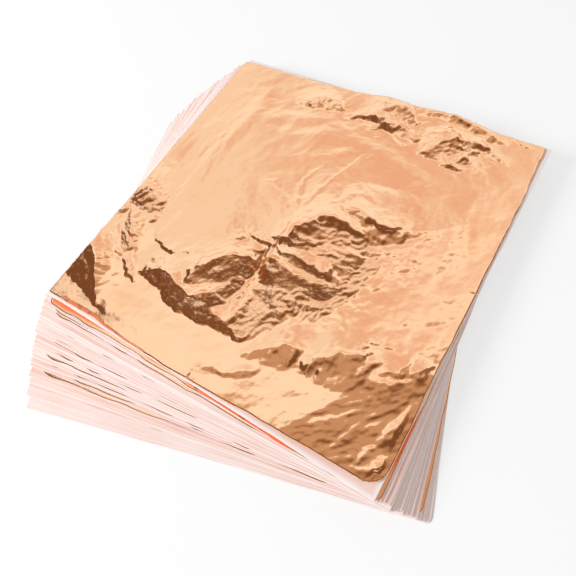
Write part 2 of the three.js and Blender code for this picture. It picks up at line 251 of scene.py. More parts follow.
# Folds: the direction that the steep face looks (degrees), its slope, the length of the rise behind the
# crest, then the crest as points (x, y, width of the face), where a width left out is 0
FOLDS = [
    ("bubble front left", -47, 0.6, 22, [(-20.8, -43.2), (-19.8, -39.8, 3.6), (-18.8, -35.6, 6.2),
     (-15.4, -31, 9), (-10, -26.2, 9.4), (-5.4, -23.2, 6.6), (-2.3, -21.3, 2.4), (-1.2, -20.4)]),
    ("bubble foot", -80, 0.56, 10, [(-43.6, -47.2), (-38, -44.4, 2.6), (-33, -42.2, 5.4), (-29, -42.6, 7.4),
     (-24.5, -44, 8.4), (-20, -45.4, 7.4), (-15, -46.6, 6.2), (-9, -46.2, 6.6), (-4, -47.4, 4.2),
     (1, -48.4, 2.6), (6, -49.8, 2), (10, -50.6)]),
    ("vein left", -24, 0.56, 12, [(-18, -50), (-14.4, -46.6, 3.4), (-11.4, -44, 5.2), (-8.4, -40.6, 5.4),
     (-6.4, -36.6, 4.2), (-5, -33, 2.8), (-3.4, -29.5, 1.2), (-2.6, -26)]),
    ("S upright", -32, 0.36, 14, [(1.6, -14.6), (3, -10.8, 3.4), (4.6, -7, 4.4), (7.2, -4.2, 4.6),
     (8.6, -1.4, 4.2), (9.4, 1.6, 3.2), (11.2, 3.6)]),
    ("S shoulder", -74, 0.36, 14, [(9, 1.4), (12.2, 3.6, 4.8), (14.6, 4.6, 5), (18.6, 4.7, 4.2),
     (22.4, 4.2, 2.8), (26, 3.6, 1.4), (30, 3)]),
    ("S apron", -62, 0.34, 18, [(3, -12.6), (4.8, -7.6, 7), (7.6, -3.6, 10.5), (10.6, 2.2, 11.5),
     (15.2, 3.9, 10.5), (21.2, 3.6, 7), (27, 3.2, 4), (33, 2.6)]),
    ("lens left", -82, 0.62, 5, [(15.6, 9.4), (18.2, 10.8, 1.5), (21.4, 11.6, 1.5), (25, 11.2, 1.5),
     (28.6, 9.8, 1.2), (31.6, 8.6)]),
    ("lens middle", -85, 0.56, 3, [(17.6, 9.2), (21.6, 9.3, 0.7), (25.6, 9, 0.7), (28.6, 8.6)]),
    ("lens right", -70, 0.46, 6, [(26.6, 9.8), (29.6, 9.7, 1.4), (32.6, 9.6, 2.2), (35.2, 10.4, 2.2),
     (37, 11.8, 1.2), (38.2, 12.8)]),
    ("lens apron", -75, 0.2, 30, [(17, 9.6), (21, 10.4, 4), (27, 10, 6), (33, 9.4, 6), (38, 10, 4),
     (42, 11)]),
    ("rib apron", -75, 0.15, 40, [(2, -9), (6, -8.6, 8), (14, -9, 10), (22, -9.4, 10), (28, -9, 8),
     (32, -8)]),
    ("rib 1", -78, 0.46, 5, [(16.6, -6.8), (18.6, -6.2, 0.7), (21.8, -6.4, 0.7), (25.8, -6, 0.8),
     (29.8, -5.2, 0.7), (33.4, -4.2)]),
    ("rib 1 apron", -70, 0.24, 8, [(15.8, -8), (18.8, -6.8, 3.4), (24.8, -6.4, 4), (29.8, -5.8, 3),
     (33.3, -5)]),
    ("rib 2", -60, 0.42, 5, [(8.4, -11.2), (10.5, -10.6, 1), (13.2, -9.6, 1.2), (15, -8, 1), (16, -6.4)]),
    ("rib 2 upper", -66, 0.3, 5, [(3, -8.6), (6, -6.4, 2), (10, -5.6, 2), (14, -4.8, 1), (17, -4.4)]),
    ("rib 3", -86, 0.8, 10, [(0.6, -15.2), (3.5, -15.9, 1.8), (8, -16.2, 2.8), (13, -16.2, 3),
     (18, -16.6, 2.8), (22, -17.2, 2.6), (26, -18.4)]),
    ("rib 4", -88, 0.5, 14, [(-1.8, -21.2), (0.2, -20.8, 6), (2.4, -20.8, 9.6), (4, -20.8, 10),
     (8, -21.2, 8.6), (12, -21.6, 7.2), (16, -21.8, 6.4), (20.2, -21.6, 6), (24.2, -21, 5.6),
     (27.2, -20.4, 3.6), (29.2, -20)]),
    ("rib 4 right", -40, 0.34, 4, [(20.4, -29), (22, -26.4, 1.2), (24, -23.8, 1.8), (25.8, -21.4, 1.6),
     (27, -19.4)]),
    ("rib 5", -66, 0.32, 5, [(14, -32.4), (18, -30.8, 1.6), (22, -29.6, 2.2), (26, -28, 2), (30, -26.4)]),
    ("pinch left", -82, 0.6, 3, [(-15, -13.2), (-11, -13.6, 1.4), (-6, -14.2, 1.5), (-1, -15, 1.2),
     (1, -15.2)]),
    ("pinch lower", -62, 0.6, 3, [(-8.6, -21.4), (-6, -20.2, 0.6), (-3.4, -18.8, 0.7), (-1.4, -17.8)]),
    ("pinch small", -40, 0.6, 3, [(-15.8, -20), (-14.4, -17.6, 1.5), (-12.6, -16, 1.4), (-10.4, -15.6)]),
    ("pinch upper", -60, 0.5, 3, [(-4, -12.6), (-2, -11.2, 1.3), (1, -9.8, 1.6), (3.5, -10.6, 1.3),
     (5, -11.6)]),
    ("lower apron", -58, 0.17, 40, [(2, -35), (6, -31, 6), (9, -29.6, 11), (13, -29, 12), (16, -29, 9),
     (21, -29)]),
    ("upright 1", -12, 0.36, 3, [(9.8, -45), (10.8, -41, 2), (11.8, -36, 2), (13, -31.5)]),
    ("upright 2", -12, 0.36, 3, [(14.6, -42.4), (15.2, -39, 1.4), (16, -35, 1.2), (17, -31.6)]),
    ("upright 3", -12, 0.62, 3, [(1, -49), (1.8, -45, 2.2), (2.4, -41, 2), (3, -37, 1.2), (3.4, -33)]),
    ("upright 4", -60, 0.4, 3, [(1.8, -34.6), (2.6, -32.8, 1), (4, -32, 0.9), (5.4, -31.6)]),
    ("plateau", 125, 0.07, 12, [(14, 6), (18, 9.5, 14), (26, 9, 20), (36, 10, 22), (46, 15, 18),
     (53, 22, 10), (56, 27)]),
    ("front tongue", -80, 0.19, 5, [(10, -56.6), (14.4, -52.6, 3), (18, -48.4, 6), (21.4, -45, 8.6),
     (25, -44.6, 8.6), (27.2, -44.6, 7.8), (30.4, -44.8)]),
    ("front tongue stripe 1", -30, 0.12, 8, [(18.6, -52.6), (20.4, -49.4, 1.6), (22.4, -46.4, 2),
     (24.4, -44.8)]),
    ("front tongue stripe 2", -20, 0.06, 6, [(24, -54.6), (26, -51, 1.8), (27.4, -47.6, 2.2), (28.4, -45)]),
    ("front arc", -64, 0.24, 8, [(1, -64.4), (6, -63.4, 1.4), (11, -61.6, 2), (16, -59.2, 2.4),
     (19, -57.6, 1.6), (20.6, -56.8)]),
    ("right tongue", -80, 0.21, 12, [(31.4, -50.4), (33.8, -46.2, 5), (36.6, -42.8, 9), (41, -39.8, 12),
     (45.4, -37.6, 13), (48, -36.8, 11), (50, -36.6, 6.8), (51.8, -36.6, 2.6), (53.4, -36.6)]),
    ("right tongue tip", -40, 0.1, 14, [(30.8, -51.2), (32.2, -48.6, 2.4), (34.2, -45.6, 4.4),
     (36.6, -43, 5), (39, -41, 4), (41.6, -39.2)]),
    ("tongue finger", 166, 0.32, 40, [(51.6, -33.6), (51.8, -36, 2.2), (51, -39.5, 2.4), (49.8, -42.6, 1.8),
     (48.8, -44.8)]),
    ("corner ray", 126, 0.3, 6, [(70, -31.2), (66, -35.2, 1.4), (62, -38.2, 1.7), (58, -40.8, 1.6),
     (54, -43.2, 1.3), (51, -45.8)]),
    ("corner wedge 1", -28, 0.3, 16, [(62.4, -30), (60.4, -33.8, 2.4), (58.2, -37, 2.6), (55.6, -40.2)]),
    ("corner wedge 2", -34, 0.3, 16, [(69.4, -28.6), (66.4, -31.6, 2.8), (64, -34, 2.8), (61.4, -36.8)]),
    ("corner sliver", 163, 0.26, 6, [(67.6, -40.6), (67.2, -46, 1.3), (66.4, -51, 1.7), (64.6, -55.4, 1.6),
     (62.2, -58.8)]),
    ("corner crescent", 156, 0.28, 4, [(64.2, -59), (62.6, -61.2, 1.6), (61.2, -64.4, 1.4), (60.2, -68)]),
    ("corner arc", 135, 0.28, 3, [(67.4, -59.6), (66.8, -63, 0.9), (65.4, -66.2, 1.2), (62.4, -68.4, 1),
     (58.6, -69)]),
    ("corner streak 1", 159, 0.22, 5, [(57.2, -54.2), (55.8, -57.4, 0.9), (54.2, -61, 1.1),
     (53, -64.6, 0.9), (52, -68)]),
    ("corner streak 2", 140, 0.22, 4, [(62.4, -51), (60.6, -53.4, 0.7), (58.8, -55.8, 0.7), (57.2, -57.8)]),
    ("corner streak 3", 148, 0.22, 4, [(53, -51.8), (51.6, -54, 0.6), (50, -56.6)]),
    ("corner streak 4", 150, 0.2, 4, [(48, -56.6), (46.4, -59.6, 0.7), (44.4, -62.6, 0.7), (42.6, -64.8)]),
    ("edge roll 1", 0, 0.6, 3, [(67.2, -46.6), (67.2, -50, 0.9), (67, -54, 1.2), (66.8, -58.6)]),
    ("edge roll 2", -10, 0.6, 3, [(66.6, -61), (66.6, -63.6, 1.1), (66.4, -66, 1.1), (65.8, -68.4)]),
    ("star 1", -80, 0.46, 3, [(51, -30.6), (53, -29.8, 0.8), (55.4, -29.6)]),
    ("star 2", -60, 0.46, 3, [(45.6, -32.6), (47.4, -31.6, 1.1), (49.6, -30.4)]),
    ("star 3", -50, 0.42, 3, [(44.8, -36.4), (46, -34.2, 1.5), (48.6, -33)]),
    ("star 4", -66, 0.46, 3, [(49.2, -35), (50.4, -34.4, 0.8), (51.8, -34.4)]),
    ("corner", -47, 0.05, 30, [(29, -80), (38.6, -66.5, 16), (43, -59, 22), (46.6, -52.6, 25),
     (51, -44, 26), (60, -37.5, 20), (67, -33, 14), (76, -28)]),
    ("corner crest", -47, 0.05, 24, [(29, -80), (38.6, -66.5, 7), (43, -59, 12), (46.6, -52.6, 14),
     (51, -44, 14), (60, -37.5, 10), (67, -33, 6), (76, -28)]),
    ("left foot", -103, 0.33, 16, [(-71, -46, 14), (-69, -46.6, 13.8), (-61.5, -50.2, 11.6),
     (-56, -55.8, 7.6), (-50, -62.6, 2.4), (-45.5, -67)]),
    ("right strip", 0, 0.025, 8, [(55.5, 48), (55.5, 40, 14), (55, 24, 15), (55, 8, 8), (54.5, -4)]),
    ("smile", -85, 0.44, 5, [(-50, -27.6), (-45, -31.2, 0.8), (-40, -33.6, 1), (-34, -33.8, 1),
     (-28, -31.6, 0.8), (-21, -28.6)]),
    ("smile lower", -112, 0.4, 4, [(-32.6, -36), (-28.6, -37.6, 0.7), (-25.6, -38.8, 0.7), (-23, -39.8)]),
    ("left 1", -20, 0.5, 3, [(-69.8, -19), (-69.4, -16, 1.2), (-69, -12.6, 1.2), (-68.4, -10)]),
    ("left 2", -36, 0.54, 4, [(-67.6, -22.6), (-67, -18.6, 3.6), (-65.8, -15.4, 3.6), (-64, -13, 1.6),
     (-62.6, -12)]),
    ("left 3", -36, 0.5, 4, [(-62.6, -22), (-62, -18.4, 3), (-60.6, -15.4, 3.2), (-58.6, -13)]),
    ("left 4", -30, 0.54, 3, [(-56, -22.4), (-55.4, -19.6, 1.8), (-54.6, -17, 1.8), (-53.8, -14.8)]),
    ("left 6", -50, 0.54, 3, [(-53.6, -27), (-52.8, -24.8, 1.6), (-51, -23)]),
    ("left 5", -16, 0.46, 4, [(-69.6, -31), (-69, -28, 1.8), (-68.4, -24.8, 1.8), (-67.8, -21.6)]),
    ("left 7", -74, 0.5, 3, [(-67, -20.6), (-64, -20.2, 1.2), (-60, -20.6, 1.4), (-57.6, -21.4)]),
    ("left streak 1", -134, 0.42, 6, [(-67, -23.2), (-63.4, -26.2, 2.8), (-60, -29.8, 4), (-57.2, -33, 3),
     (-55, -36)]),
    ("left streak 2", -130, 0.42, 6, [(-62, -32.4), (-58.4, -35.4, 3), (-54.8, -38.4, 3.6),
     (-51.6, -41.6)]),
    ("left streak 3", -130, 0.4, 4, [(-68.4, -35.6), (-66.4, -37.6, 0.9), (-63, -41.2)]),
    ("left streak 5", -112, 0.4, 4, [(-62, -40.4), (-57.6, -42.6, 1), (-53.6, -44)]),
    ("left streak 4", -126, 0.42, 5, [(-54.6, -42.8), (-51, -45.2, 1.6), (-47, -47.8, 2), (-44, -49.4, 1.4),
     (-40, -51.4)]),
    ("back cloud", -52, 0.33, 9, [(1, 56), (4, 60.6, 5), (9, 65, 7.6), (15, 66.4, 8), (19, 64.6, 6),
     (22, 61)]),
    ("back apron", -52, 0.34, 12, [(-8, 54), (-2, 57, 1.6), (3, 58.2, 3.4), (8, 58.6, 6), (16, 58, 6),
     (22, 55.4, 3), (26, 53)]),
    ("back edge apron", -60, 0.3, 8, [(20, 66), (26, 69, 3), (34, 70, 5), (42, 69.4, 5), (50, 67.6, 4),
     (58, 66)]),
    ("back haze", -50, 0.33, 12, [(-32, 54), (-26, 58, 6), (-20, 61, 7), (-14, 61, 6), (-9, 58)]),
    ("back mottle", -52, 0.24, 8, [(24, 52), (28, 58, 5), (33, 60.6, 7), (37, 61, 6), (41, 61)]),
    ("back right apron", -50, 0.28, 10, [(28, 48), (31, 52, 6), (35, 56, 9), (39, 59, 10), (43, 60.6, 9),
     (46, 61.4, 5), (50, 63)]),
    ("back 1", -62, 0.4, 5, [(-9.6, 54.4), (-6, 56, 1), (-2.6, 57.4, 1.3), (1, 57.4, 1), (4, 57)]),
    ("back 2", -50, 0.42, 6, [(2.6, 50.8), (5.6, 53.8, 1.8), (9, 56, 2.6), (11, 57.2, 2.8), (13.4, 56, 1.4),
     (14.8, 54.6)]),
    ("back 3", -128, 0.5, 4, [(13.6, 54.6), (16, 52.8, 1), (19, 51, 1), (21.4, 49.4)]),
    ("back 4", -76, 0.66, 3, [(0.6, 66.8), (3, 67.2, 1.2), (6, 66.6, 1.2), (9.4, 65.8)]),
    ("back 5", -60, 0.3, 3, [(6, 48.4), (8, 50.2, 1), (10.6, 51)]),
    ("back 6", -60, 0.5, 4, [(28.6, 48.6), (30.4, 49.6, 1), (33.6, 49)]),
    ("back 7", -56, 0.6, 4, [(35.6, 59.2), (37.4, 59.8, 1.3), (39.4, 58.8, 1.4), (41, 57.2)]),
    ("back 8", -50, 0.6, 3, [(40.2, 55.4), (41.6, 56.4, 1.7), (43.2, 55)]),
    ("back 9", -42, 0.46, 4, [(42, 49), (43.4, 52, 2.6), (45.4, 53, 2.8), (47, 52.6, 1.6), (48.6, 52.4)]),
    ("back 11", -52, 0.52, 4, [(37, 45), (39, 47.6, 2), (41.4, 48.2, 2.4), (43.6, 47.6, 1.6), (46, 47)]),
    ("back 12", -60, 0.6, 5, [(44.4, 60.4), (47, 60.6, 1.2), (50, 60.8, 1.8), (52.4, 60)]),
    ("back 10", -60, 0.4, 5, [(48, 59.6), (51, 60.2, 2.6), (54, 59.4, 2.6), (58, 57.4, 1.6), (60.6, 55.8)]),
    ("back edge line", -70, 0.42, 4, [(30.4, 69), (35, 69.4, 1.1), (40, 68.6, 1.2), (43, 67.4, 1.2),
     (46.4, 65.4)]),
    ("back edge right", -66, 0.44, 3, [(53, 69.8), (58, 69.4, 0.9), (63, 67.6, 1), (67, 66)]),
]

# The rise behind a crest spreads sideways by these shares of its length, the sooner the higher a power
SPREAD = np.linspace(-0.7, 0.7, 15)
NARROW_POWER = 4

# The slope at which a fold's face is fully crumpled, and the power by which gentler ones aren't
FULLY_CRUMPLED = 0.42
CRUMPLED_POWER = 3

# Pleated patches of short uneven steps: the direction that the steps look (degrees), their slope and
# pitch, then the patch's corners
PLEATS = [
    ("under the S", -62, 0.42, 2.4, [(10, 1), (15, 1.5), (27, 2), (34, 2), (36, -2), (30, -4.5), (20, -5),
     (14, -4.6), (8, -5), (5.6, -7), (6, -4)]),
    ("middle ribs", -70, 0.46, 2.4, [(4, -8.6), (8, -6.4), (16, -8), (30, -7), (36, -5), (34, -10),
     (31, -13), (20, -13), (10, -13), (4, -13)]),
    ("below rib 3", -66, 0.44, 2.2, [(15, -19), (26, -18.6), (31, -14), (33, -10), (34, -18), (31, -28),
     (28, -31), (20, -29.5), (12, -30), (14, -26)]),
    ("beside the vein", -35, 0.46, 2.4, [(2, -30), (12, -28), (28, -31), (28, -35), (18, -35.5), (17, -44),
     (12, -48), (8, -52), (3, -51), (1.6, -40)]),
    ("bubble fan", -42, 0.32, 2.2, [(-20, -42.5), (-13, -39), (-10.4, -37.4), (-12, -41), (-15, -43.4),
     (-17, -44.5)]),
    ("left edge", -40, 0.4, 2.6, [(-69.6, -9), (-58, -11), (-52, -13), (-51.6, -22), (-60, -24), (-67, -23),
     (-69.6, -30)]),
    ("left side", -125, 0.2, 2.4, [(-66, -25), (-56, -30), (-47, -42), (-40, -51), (-50, -49), (-60, -40),
     (-67, -36)]),
    ("back", -50, 0.2, 2.4, [(3, 57), (8, 54), (20, 56), (22, 62), (18, 67), (10, 67), (4, 63)]),
    ("back right", -48, 0.22, 2.2, [(27, 48), (38, 46), (46, 45), (49, 51), (44, 60), (38, 62), (32, 59)]),
    ("feathers", -28, 0.5, 1.8, [(23, -31), (26.5, -20), (29, -10), (34, -2), (38, -4), (35.5, -16),
     (32.5, -26), (28, -34)]),
    ("vein foot", -70, 0.4, 1.9, [(0, -18), (6, -18.4), (7.4, -23), (1, -24.6)]),
    ("corner border", -55, 0.07, 2.6, [(32, -70), (36.6, -63), (44, -55.6), (48, -51), (50.6, -53),
     (46.6, -60), (41, -68), (38, -70)]),
]

# Pleats: share of the pitch that the back takes, stray of the line in waves and in facets, lengths of the
# waves and of changes in height in pitches, width of a patch's border
PLEAT_RETURN = 0.3
PLEAT_STRAY = (0.9, 0.4)
PLEAT_WAVE = 2.4
PLEAT_STRETCH = (3, 1.5)
PLEAT_BORDER = 1.5

# Creases: thin ridges along a line that taper at the ends: half width, height, the line's points
CREASES = [
    ("vein", 0.9, 0.46, [(0.6, 5), (0, -5), (0, -14), (0.2, -25), (-0.8, -36), (0.3, -50)]),
    ("vein right", 0.7, 0.2, [(1.4, -12), (1.8, -22), (1.2, -32), (2, -44)]),
    ("fold streak 1", 0.7, 0.14, [(-19.5, -32), (-15, -29), (-9.5, -26.5)]),
    ("fold streak 2", 0.7, 0.14, [(-14, -35.5), (-9, -31.5), (-5.5, -27)]),
    ("fan streak 1", 1.0, 0.2, [(-21, -41.5), (-15, -39.6), (-11, -37.8)]),
    ("fan streak 2", 1.0, 0.2, [(-18, -43.4), (-13.6, -42.4)]),
    ("vein fork left", 1.6, 0.2, [(0, 2), (-3, 8), (-6, 16), (-5, 22), (-1, 27)]),
    ("vein fork right", 1.6, 0.2, [(0.6, 3), (2, 12), (5, 24), (9, 36), (13, 46)]),
    ("ray 1", 2.2, 0.18, [(0, 4), (-8, 9), (-17, 11), (-24, 9)]),
    ("ray 2", 2.2, 0.18, [(1, 4), (8, 8), (14, 15), (19, 22)]),
    ("arc 1", 5, 0.24, [(-28, 34), (-14, 41), (2, 45), (18, 42), (32, 37), (46, 35)]),
    ("arc 2", 3, 0.16, [(-20, 25), (-8, 30), (0, 35), (4, 41)]),
    ("arc 3", 5, 0.24, [(-44, 38), (-30, 46), (-14, 50), (4, 47)]),
    ("upright fold left", 6, 0.35, [(-49, 66), (-46.5, 45), (-49, 12), (-47, -18), (-48, -34)]),
    ("upright fold right", 4, 0.04, [(56, 44), (54, 20), (55, -5), (53, -24)]),
]
CREASE_TAPER = 7

# How far the lines of folds, pleats and creases stray, and over what length
RAGGED = [(0.7, 3.2), (0.35, 1.3)]

# Crinkled patches: middle, reach along and across, turn of the patch, size of a facet along and across its
# grain, direction of the grain, height of the facets. A patch fades out by a power
CRINKLES = [
    ("all over", 0, 0, 150, 150, 0, 21, 17, 30, 0.34),
    ("middle size all over", 0, 0, 150, 150, 0, 9, 6, 60, 0.07),
    ("bubble front right", 15, -8, 26, 19, 60, 5, 2.6, -8, 0.1),
    ("below the ribs", 13, -33, 20, 17, 90, 2.6, 5, 0, 0.18),
    ("bubble front left", -14, -34, 20, 12, 40, 5, 2.6, 50, 0.08),
    ("foot band", -16, -48, 30, 6, 0, 2.4, 4, -5, 0.11),
    ("left edge", -62, -18, 16, 12, 90, 6, 3, 70, 0.34),
    ("left side", -58, 10, 50, 14, 90, 10, 3.6, 88, 0.2),
    ("left streaks", -57, -38, 22, 14, -48, 9, 3.6, -44, 0.22),
    ("left foot", -60, -58, 14, 8, -35, 5, 3, -40, 0.1),
    ("back", 16, 60, 36, 14, 0, 6, 3.4, 44, 0.16),
    ("back right", 46, 55, 18, 13, -45, 5, 3, -40, 0.24),
    ("back left", -30, 56, 26, 10, 20, 9, 4, 48, 0.15),
    ("right middle", 36, -8, 34, 16, 70, 2.8, 2.2, 30, 0.16),
    ("right corner", 56, -55, 26, 17, 45, 9, 2.2, 44, 0.16),
    ("front edge", 4, -68, 70, 4, 0, 12, 1.8, 0, 0.05),
]
CRINKLE_POWER = 3

# Sizes of facet in a crinkle: how many, how much finer each is than the one before, its turn in degrees,
# how far lines bend, lengths of calmer stretches in facets
FACET_SIZES = 3
FACET_STEP = 1.9
FACET_TURN = 40
FACET_BEND = 0.5
CALM_STRETCH = (2, 3)

# The usual height of pleats and crinkles as a share, and how much it varies
UNEVEN = (0.65, 0.5)

# Fine grain all over: size along and across, direction, height, what crumpled places add to it
GRAIN_SIZE = (3.4, 2.2)
GRAIN_TURN = 20
CALM_GRAIN = 0.03
CRUMPLED_GRAIN = 0.08


def hash01(i, j, seed):
    """A repeatable scatter from 0 to 1 for each lattice point."""
    n = (i * 374761393 + j * 668265263 + seed * 1442695041) & 0xFFFFFFFF
    n = ((n ^ (n >> 13)) * 1274126177) & 0xFFFFFFFF
    return ((n ^ (n >> 16)) & 0xFFFFFF) / 0xFFFFFF


def smoothed(share):
    """A share from 0 to 1, eased at both ends."""
    return share * share * (3 - 2 * share)


def fade(value, full, none):
    """1 up to one limit of a value, falling to 0 at the other."""
    return np.clip((none - value) / (none - full), 0, 1)


def smooth_noise(x, y, seed):
    """Rounded noise from -1 to 1, one cell to a unit."""
    i, j = np.floor(x).astype(np.int64), np.floor(y).astype(np.int64)
    fx, fy = smoothed(x - i), smoothed(y - j)
    near = hash01(i, j, seed) * (1 - fx) + hash01(i + 1, j, seed) * fx
    far = hash01(i, j + 1, seed) * (1 - fx) + hash01(i + 1, j + 1, seed) * fx
    return 2 * (near * (1 - fy) + far * fy) - 1


def facets(x, y, seed):
    """Flat facets between random heights from -1 to 1 on a triangular lattice."""
    skew = (x + y) * (math.sqrt(3) - 1) / 2
    i, j = np.floor(x + skew).astype(np.int64), np.floor(y + skew).astype(np.int64)
    fx, fy = x + skew - i, y + skew - j
    lower = fx > fy
    first = (1 - np.maximum(fx, fy)) * hash01(i, j, seed)
    second = np.abs(fx - fy) * hash01(i + lower, j + ~lower, seed)
    third = np.minimum(fx, fy) * hash01(i + 1, j + 1, seed)
    return 2 * (first + second + third) - 1


def uneven(x, y, seed):
    """A height that varies smoothly round its usual share."""
    return UNEVEN[0] + UNEVEN[1] * smooth_noise(x, y, seed)


def turned(x, y, degrees):
    """The point in axes turned by that angle."""
    a = math.radians(degrees)
    return x * math.cos(a) + y * math.sin(a), y * math.cos(a) - x * math.sin(a)


def oval(x, y, mid_x, mid_y, along, across, turn):
    """Distance from an oval's middle as a share of its reach."""
    u, v = turned(x - mid_x, y - mid_y, turn)
    return np.clip(np.hypot(u / along, v / across), 0, 1)


def swell(x, y, *place):
    """An oval hump: 1 at its middle, easing to 0 at its reach."""
    return 1 - smoothed(oval(x, y, *place))


def fold(x, y, facing, slope, back, crest):
    """Height of a fold with a steep face and a rise behind its crest, and how crumpled it is."""
    points = np.array([(*point, 0)[:3] for point in crest], float)
    out, along = turned(points[:, 0], points[:, 1], facing)
    order = np.argsort(along)
    out, along, widths = out[order], along[order], points[order, 2]
    here_out, here_along = turned(x, y, facing)
    width = np.interp(here_along, along, widths)
    broad = sum(np.interp(here_along + shift * back, along, widths) for shift in SPREAD) / len(SPREAD)
    ahead = here_out - np.interp(here_along, along, out)
    near = np.exp(np.minimum(ahead, 0) / back)
    narrow = near ** NARROW_POWER
    rise = near * (narrow * width + (1 - narrow) * broad)
    height = slope * np.where(ahead > 0, np.clip(width - ahead, 0, None), rise)
    steepness = min(slope / FULLY_CRUMPLED, 1) ** CRUMPLED_POWER
    return height, steepness * np.clip(np.minimum(ahead, width - ahead), 0, 1)


def line_distance(x, y, start, end):
    """Distance from the line between two points, and the share of it before the nearest point."""
    dx, dy = end[0] - start[0], end[1] - start[1]
    share = np.clip(((x - start[0]) * dx + (y - start[1]) * dy) / (dx * dx + dy * dy), 0, 1)
    return np.hypot(x - start[0] - share * dx, y - start[1] - share * dy), share


def pleats(x, y, facing, slope, pitch, corners):
    """Height of a patch of short uneven steps, and how crumpled it is, fading at its border."""
    inside = np.zeros(x.shape, bool)
    margin = np.full(x.shape, np.inf)
    for start, end in zip(corners, corners[1:] + corners[:1]):
        margin = np.minimum(margin, line_distance(x, y, start, end)[0])
        crosses = (start[1] > y) != (end[1] > y)
        rise = end[1] - start[1] if end[1] != start[1] else TINY
        inside ^= crosses & (x < start[0] + (y - start[1]) * (end[0] - start[0]) / rise)
    out, along = turned(x / pitch, y / pitch, facing)
    stray = PLEAT_STRAY[0] * smooth_noise(along / PLEAT_WAVE, out / PLEAT_WAVE, PLEAT_SEED)
    stray = stray + PLEAT_STRAY[1] * facets(along, out, PLEAT_SEED + 1)
    phase = np.mod(stray - out, 1)
    step = np.minimum(phase, (1 - phase) * (1 - PLEAT_RETURN) / PLEAT_RETURN)
    step = step * uneven(along / PLEAT_STRETCH[0], out / PLEAT_STRETCH[1], PLEAT_SEED + 2)
    within = np.where(inside, np.clip(margin / PLEAT_BORDER, 0, 1), 0)
    return slope * pitch * step * within, min(slope / FULLY_CRUMPLED, 1) * within


def crease(x, y, half_width, height, line):
    """A ridge with rounded sides along a line of points, lower towards its ends."""
    points = np.array(line, float)
    steps = np.hypot(*np.diff(points, axis=0).T)
    travelled = np.concatenate([[0], np.cumsum(steps)]) / steps.sum()
    ridge = np.zeros_like(x)
    for start, end, first, last in zip(points[:-1], points[1:], travelled[:-1], travelled[1:]):
        distance, share = line_distance(x, y, start, end)
        t = first + share * (last - first)
        taper = np.clip(CREASE_TAPER * t * (1 - t), 0, 1)
        ridge = np.maximum(ridge, taper * np.clip(1 - distance / half_width, 0, None))
    return height * smoothed(ridge)


def crinkle(x, y, size_along, size_across, grain, seed):
    """Crumpled facets along a grain, with finer ones on them and calmer stretches between."""
    bend_u_seed, bend_v_seed, calm_seed = seed + 50, seed + 70, seed + 90
    u, v = turned(x, y, grain)
    u, v = u / size_along, v / size_across
    calm = uneven(u / CALM_STRETCH[0], v / CALM_STRETCH[1], calm_seed)
    total = 0
    for size in range(FACET_SIZES):
        bent_u = u + FACET_BEND * smooth_noise(u, v, bend_u_seed + size)
        bent_v = v + FACET_BEND * smooth_noise(u, v, bend_v_seed + size)
        total = total + facets(*turned(bent_u, bent_v, FACET_TURN * size), seed + size) / 2 ** size
        u, v = FACET_STEP * u, FACET_STEP * v
    return calm * total


def ragged(x, y):
    """The point moved a little in facets, which makes straight lines ragged."""
    new_x, new_y = x, y
    for number, (stray, length) in enumerate(RAGGED):
        seed = RAGGED_SEED + 2 * number
        new_x = new_x + stray * facets(x / length, y / length, seed)
        new_y = new_y + stray * facets(x / length, y / length, seed + 1)
    return new_x, new_y


def leaf_relief(x, y):
    """Height of the uppermost leaf over its tissue in mm, and how crumpled it is, from 0 to 1."""
    ragged_x, ragged_y = ragged(x, y)
    height = CALM_HEIGHT + sum(rise * swell(x, y, *place) for _, *place, rise in SWELLS)
    crumpled = np.zeros_like(x)
    steps = [fold(ragged_x, ragged_y, *shape) for _, *shape in FOLDS]
    steps += [pleats(ragged_x, ragged_y, *patch) for _, *patch in PLEATS]
    for rise, inside in steps:
        height = height + rise
        crumpled = np.maximum(crumpled, inside)
    grain = crinkle(x, y, *GRAIN_SIZE, GRAIN_TURN, GRAIN_SEED)
    height = height + (CALM_GRAIN + CRUMPLED_GRAIN * crumpled) * grain
    for _, half_width, rise, line in CREASES:
        height = height + crease(ragged_x, ragged_y, half_width, rise, line)
    for number, (_, *place, size_along, size_across, turn, rise) in enumerate(CRINKLES):
        inside = 1 - oval(x, y, *place) ** CRINKLE_POWER
        seed = CRINKLE_SEED + SEEDS_PER_CRINKLE * number
        height = height + rise * inside * crinkle(x, y, size_along, size_across, turn, seed)
    return np.logaddexp(height / LAID_FLAT, 0) * LAID_FLAT, crumpled


def node_place(node):
    """Middle, turn, underside and side of a square sheet in the frame. The fourth moment of its points has
    the turn, and is negative and real for a square along the axes."""
    low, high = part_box(node)
    middle = (low + high) / 2
    points = np.array([v.co for v in frame["nodes"][node].data.vertices], float)
    spread = (points[:, 0] - middle.x) + 1j * (points[:, 1] - middle.y)
    turn = np.angle(-np.sum(spread ** 4)) / 4
    side = float(np.ptp((spread * np.exp(-1j * turn)).real))
    return middle, turn, low.z, side


def to_frame(x, y, z, middle, turn, base):
    """Sheet coordinates in mm to points of the frame in metres."""
    fx = middle.x + (x * math.cos(turn) - y * math.sin(turn)) * MM
    fy = middle.y + (x * math.sin(turn) + y * math.cos(turn)) * MM
    return np.stack([fx, fy, base + z * MM], -1).reshape(-1, 3)


def square_grid(lines):
    """Points of a square grid of these lines, and how far each lies in from the edge."""
    x, y = np.meshgrid(lines, lines)
    return x, y, lines[-1] - np.maximum(np.abs(x), np.abs(y))


